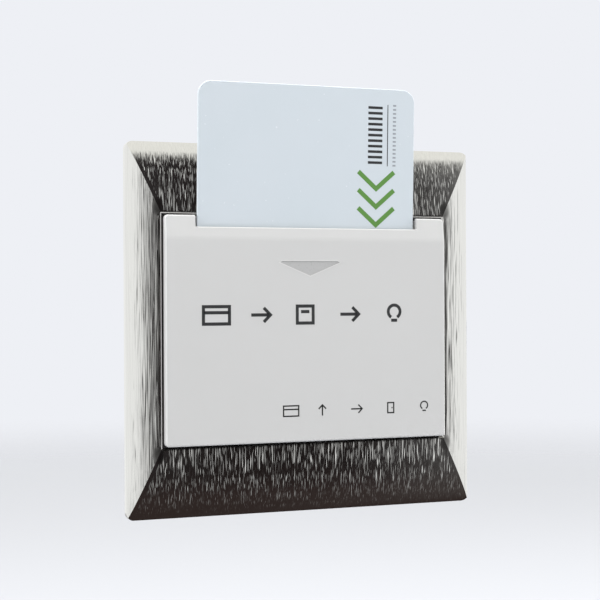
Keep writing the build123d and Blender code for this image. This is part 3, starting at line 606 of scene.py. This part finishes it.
def add_card_marks(grey):
    """Generic marks where the card is printed: chevrons, bars beside a line, and dots."""
    green = moulded("print_green", (0.105, 0.25, 0.055), rough=0.45, mottle=0.08, **fine_grain)
    pale_grey = moulded("print_pale_grey", (0.28, 0.30, 0.33), rough=0.5)
    arrows = chevrons(middle=17.2, half_w=4.6, foot=24.6, rise=4.0, pitch=4.3, count=3, width=1.1)
    print_piece("card_chevrons", on_card, arrows, green, "card")
    bars = ladder(left=15.0, right=18.7, foot=39.4, pitch=1.3, count=11, width=0.62)
    line_x, line_foot, line_top, line_w = 20.05, 38.6, 53.2, 0.22
    bars.append(([(line_x, line_foot), (line_x, line_top)], line_w, False))
    print_piece("card_bars", on_card, bars, grey, "card")
    dots = ladder(left=21.4, right=22.2, foot=38.8, pitch=0.95, count=16, width=0.4)
    print_piece("card_dots", on_card, dots, pale_grey, "card")


def add_cover_edges():
    """Painted highlights: light lines on the slot's edge and along the cover's sides and shoulders.
    """
    edge_highlight = moulded("painted_highlight_edge", (0.76, 0.76, 0.75), rough=0.3, mottle=0.03, **fine_grain)
    slot_inset, slot_w = 0.12, 0.2
    slot_z = slot_line - slot_inset
    slot_edge = [([(-slot_half, slot_z), (slot_half, slot_z)], slot_w, False)]
    print_piece("slot_edge", on_bevel, slot_edge, edge_highlight, "root")
    edge_inset, edge_w, chamfer, shoulder_x = 0.6, 0.12, 0.45, slot_half + 1.0
    edge_x, edge_z = window_half_w - edge_inset, window_half_h - edge_inset
    line = [(edge_x, -edge_z), (edge_x, bevel_foot), (edge_x, edge_z - chamfer)]
    line += [(edge_x - chamfer, edge_z), (shoulder_x, edge_z)]
    edges = [([(way * x, z) for x, z in line], edge_w, False) for way in (-1, 1)]
    print_piece("cover_edge", on_front, edges, edge_highlight, "root")


def add_lip_edge():
    """Painted highlight: bright rim on the metal frame's lip, at both sides and above."""
    grain = {"grain": 3.0, "grain_depth": 0.002, "mottle": 0.1}
    lip_highlight = moulded("painted_highlight_lip", (0.50, 0.49, 0.48), rough=0.3, **grain)
    out, width = 0.13, 0.2
    lip_x, lip_z = window_half_w + out, window_half_h + out
    lip = [([(-lip_x, -lip_z), (-lip_x, lip_z), (lip_x, lip_z), (lip_x, -lip_z)], width, False)]
    print_piece("lip_edge", on_lip, lip, lip_highlight, "root")


def add_arrow_rim():
    """Painted highlight: light rim round the arrow in the cover."""
    light = moulded("painted_highlight_rim", (0.62, 0.62, 0.615), rough=0.35, mottle=0.03, **fine_grain)
    low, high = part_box("arrow_window")
    tip, top, half = low.z / MM, high.z / MM, high.x / MM
    out, cut, width = 0.06, 0.35, 0.2
    rim = [(-half - out, top - cut), (2 * cut - half, top + out), (half - 2 * cut, top + out)]
    rim += [(half + out, top - cut), (0, tip - out)]
    print_piece("arrow_rim", on_cover, [(rim, width, True)], light, "root")


def studio_world():
    """Soft tent: bright round about and above, a dark gap in front, a dark table below."""
    world = bpy.data.worlds.new("studio")
    bpy.context.scene.world = world
    world.use_nodes = True
    tree = world.node_tree
    back = tree.nodes["Background"]
    way = node(tree, "ShaderNodeTexCoord").outputs["Generated"]
    parts = node(tree, "ShaderNodeSeparateXYZ", {0: way}).outputs
    azimuth = math(tree, "ARCTAN2", parts[0], math(tree, "MULTIPLY", parts[1], -1.0))
    azimuth = math(tree, "MULTIPLY", azimuth, degrees(1))
    height = math(tree, "MULTIPLY", math(tree, "ARCSINE", parts[2]), degrees(1))
    left = smooth(tree, azimuth, *gap_left)
    right = smooth(tree, azimuth, *gap_right, 1.0, 0.0)
    top = smooth(tree, height, *gap_top, 1.0, 0.0)
    gap = math(tree, "MULTIPLY", math(tree, "MULTIPLY", left, right), top)
    below = math(tree, "MINIMUM", math(tree, "ADD", height, dusk_start), 0.0)
    dusk = math(tree, "EXPONENT", math(tree, "DIVIDE", below, dusk_fall))
    bright = math(tree, "MULTIPLY", math(tree, "SUBTRACT", 1.0, gap), dusk)
    white, cream = (0.97, 0.975, 0.965, 1.0), (0.93, 0.925, 0.875, 1.0)
    tent = mix(tree, smooth(tree, height, *tent_heights), white, cream)
    brown, black = (0.034, 0.024, 0.022, 1.0), (0.011, 0.008, 0.008, 1.0)
    dark = mix(tree, smooth(tree, height, *dark_heights), brown, black)
    mirrored = mix(tree, bright, dark, tent)
    seen = node(tree, "ShaderNodeLightPath").outputs["Is Camera Ray"]
    final = mix(tree, seen, mirrored, (0.855, 0.871, 0.913, 1.0))
    tree.links.new(final, back.inputs["Color"])
    back.inputs["Strength"].default_value = 1.0


def area_light(name, place, size, power):
    """Soft light that the metal doesn't mirror."""
    data = bpy.data.lights.new(name, "AREA")
    data.size = size * MM
    data.energy = power
    lamp = bpy.data.objects.new(name, data)
    bpy.context.scene.collection.objects.link(lamp)
    lamp.location = Vector(place) * MM
    lamp.rotation_euler = (Vector(lamp_aim) - Vector(place)).to_track_quat("-Z", "Y").to_euler()
    lamp.visible_glossy = False


def floor():
    """Pale floor below the plate, fading out into the background."""
    bpy.ops.mesh.primitive_circle_add(
        vertices=floor_corners,
        radius=floor_radius * MM,
        fill_type="NGON",
        location=(0, 0, floor_level * MM),
    )
    ground = bpy.context.object
    ground.name = "floor"
    material, tree, shader = new_material("floor")
    shader.inputs["Roughness"].default_value = 0.9
    shader.inputs["Base Color"].default_value = (0.500, 0.510, 0.547, 1.0)
    place = place_mm(tree)
    far = node(tree, "ShaderNodeVectorMath", {0: place}, operation="LENGTH").outputs["Value"]
    tree.links.new(smooth(tree, far, *floor_fade, 1.0, 0.0), shader.inputs["Alpha"])
    ground.data.materials.append(material)
    ground.visible_glossy = False


def add_camera():
    """Camera at the photograph's viewing angle."""
    data = bpy.data.cameras.new("camera")
    data.sensor_width = sensor_mm
    data.lens = focal_px / frame_px * sensor_mm
    camera = bpy.data.objects.new("camera", data)
    bpy.context.scene.collection.objects.link(camera)
    turn = (
        Matrix.Rotation(radians(camera_yaw), 4, "Z")
        @ Matrix.Rotation(radians(camera_pitch), 4, "X")
        @ Matrix.Rotation(radians(camera_roll), 4, "Y")
        @ Matrix.Rotation(pi / 2, 4, "X")
    )
    camera.matrix_world = Matrix.Translation(Vector(camera_place) * MM) @ turn
    bpy.context.scene.camera = camera


dress_front()
dress_body()
dress_electronics()
dress_metals()
grey_ink = moulded("print_grey", (0.028, 0.029, 0.031), rough=0.5, mottle=0.15, **fine_grain)
add_cover_signs(grey_ink)
add_card_marks(grey_ink)
add_cover_edges()
add_lip_edge()
add_arrow_rim()
studio_world()
for lamp_row in lamps:
    area_light(*lamp_row)
floor()
add_camera()
bpy.context.scene.view_settings.view_transform = "Standard"
